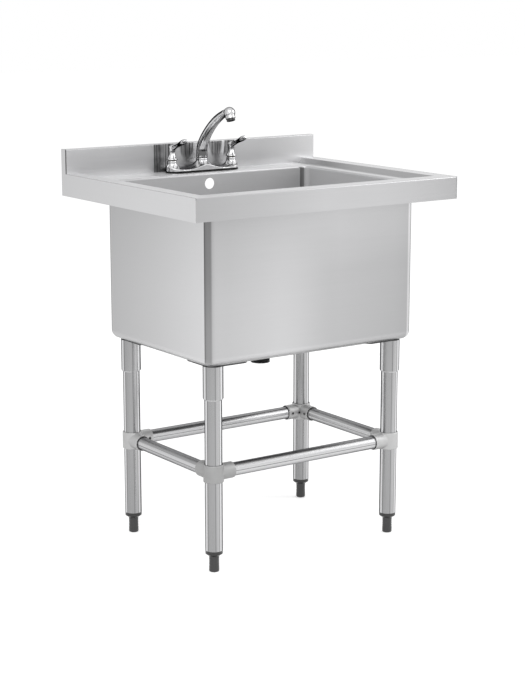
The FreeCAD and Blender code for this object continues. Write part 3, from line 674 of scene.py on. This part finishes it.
print("dressing sheet and tube")
skin("worktop", "worktop")
skin("end_panel_left", "panel")
skin("end_panel_right", "panel")
skin("bowl", "bowl")
for node, finish in (("brace_front", "braceX"), ("brace_rear", "braceX"), ("brace_left", "braceY"),
                     ("brace_right", "braceY")):
    skin(node, finish)
for corner in corners:
    skin("leg_tube_" + corner, "leg")
    skin("leg_socket_" + corner, "leg")
    skin("leg_plate_" + corner, "plate")
    skin("foot_bush_" + corner, "bush")

print("softening the castings")
fittingWear = {"grain": 0.0010, "rounds": 6}
for corner in corners:
    soften("corner_fitting_" + corner, "cast", fittingWear)

print("ringing feet and tails")
footThread = {"radius": 0.0120, "pitch": 0.006, "depth": 0.0005, "low": 0.012, "under": 0.004}
wasteThread = {"radius": 0.0239, "pitch": 0.003, "depth": 0.0012, "low": 0.002, "high": 0.038}
tailThread = {"radius": 0.01048, "pitch": 0.0018, "depth": 0.0008, "low": 0.001, "high": 0.038}
for corner in corners:
    bushLow = span("foot_bush_" + corner)[0][2]
    threaded("foot_" + corner, "foot", footThread["low"], bushLow - footThread["under"], footThread)
for node, finish, thread in (("waste_body", "black", wasteThread), ("tap_tail_hot", "brass", tailThread),
                             ("tap_tail_cold", "brass", tailThread)):
    low = span(node)[0][2]
    threaded(node, finish, low + thread["low"], low + thread["high"], thread)

print("dressing the mixer")
baseWear = {"grain": 0.0008, "rounds": 8}
spoutWear = {"grain": 0.0007, "rounds": 4}
leverWear = {"grain": 0.0005, "rounds": 5}
soften("tap_base", "base", baseWear)
soften("spout", "spout", spoutWear)
for side in ("hot", "cold"):
    soften("lever_" + side, "chrome", leverWear)
    for node, finish in (("valve_", "valve"), ("valve_spindle_", "brass"), ("lever_cap_", "chrome"),
                         ("lever_screw_", "zinc")):
        skin(node + side, finish)

print("dressing seals, screws and nuts")
smallParts = {
    "waste_flange": "strainer",
    "waste_screw": "strainer",
    "waste_upper_seal": "rubber",
    "waste_lower_gasket": "rubber",
    "tap_gasket": "rubber",
    "aerator": "black",
    "spout_seal": "rubber",
    "socket_grub_screws": "screw",
    "fitting_grub_screws": "screw",
    "spout_grub_screw": "screw",
    "tap_washers": "zinc",
    "tap_backnuts": "brass",
}
for node, finish in smallParts.items():
    skin(node, finish)

room = {
    "floorSize": 40.0,
    "floorGlow": 0.40,
    "worldFill": 0.72,
}
lamps = {
    "key": {"place": (-1.6, -2.2, 3.0), "aim": (0, 0, 0.7), "size": 2.2, "power": 60.0},
    "side": {"place": (2.6, -1.4, 2.0), "aim": (0, 0, 0.6), "size": 1.8, "power": 30.0},
}


def seenRay(tree):
    # 1 for what the camera, a mirror or glass sees, 0 for the light itself
    path = tree.nodes.new("ShaderNodeLightPath")
    seen = path.outputs["Is Camera Ray"]
    for name in ("Is Glossy Ray", "Is Transmission Ray"):
        either = tree.nodes.new("ShaderNodeMath")
        either.operation = "MAXIMUM"
        tree.links.new(seen, either.inputs[0])
        tree.links.new(path.outputs[name], either.inputs[1])
        seen = either.outputs[0]
    return seen


def setFloor():
    bpy.ops.mesh.primitive_plane_add(size=room["floorSize"], location=(0, 0, -0.0005))
    floor = bpy.context.object
    floor.name = "floor"
    finish = Finish("paleFloor")
    tree = finish.tree
    paint = tree.nodes.new("ShaderNodeBsdfDiffuse")
    paint.inputs["Color"].default_value = (0.9, 0.9, 0.9, 1)
    glow = tree.nodes.new("ShaderNodeEmission")
    finish.feed(glow.inputs["Strength"], Wire(finish, seenRay(tree)) * room["floorGlow"])
    add = tree.nodes.new("ShaderNodeAddShader")
    tree.links.new(paint.outputs[0], add.inputs[0])
    tree.links.new(glow.outputs[0], add.inputs[1])
    output = tree.nodes.new("ShaderNodeOutputMaterial")
    tree.links.new(add.outputs[0], output.inputs["Surface"])
    floor.data.materials.append(finish.material)


def setWorld():
    world = bpy.data.worlds.new("studio")
    bpy.context.scene.world = world
    world.use_nodes = True
    tree = world.node_tree
    tree.nodes.clear()
    strength = tree.nodes.new("ShaderNodeMapRange")
    tree.links.new(seenRay(tree), strength.inputs["Value"])
    strength.inputs["To Min"].default_value = room["worldFill"]
    background = tree.nodes.new("ShaderNodeBackground")
    background.inputs["Color"].default_value = (1, 1, 1, 1)
    tree.links.new(strength.outputs[0], background.inputs["Strength"])
    output = tree.nodes.new("ShaderNodeOutputWorld")
    tree.links.new(background.outputs[0], output.inputs["Surface"])


def addLamp(name, lamp):
    data = bpy.data.lights.new(name, "AREA")
    data.size = lamp["size"]
    data.energy = lamp["power"]
    made = bpy.data.objects.new(name, data)
    made.location = lamp["place"]
    aim = Vector(lamp["aim"]) - Vector(lamp["place"])
    made.rotation_euler = aim.to_track_quat("-Z", "Y").to_euler()
    bpy.context.scene.collection.objects.link(made)


print("setting the room")
setCamera()
setFloor()
setWorld()
for name, lamp in lamps.items():
    addLamp(name, lamp)
bpy.context.scene.view_settings.view_transform = "Standard"

print("dressed")
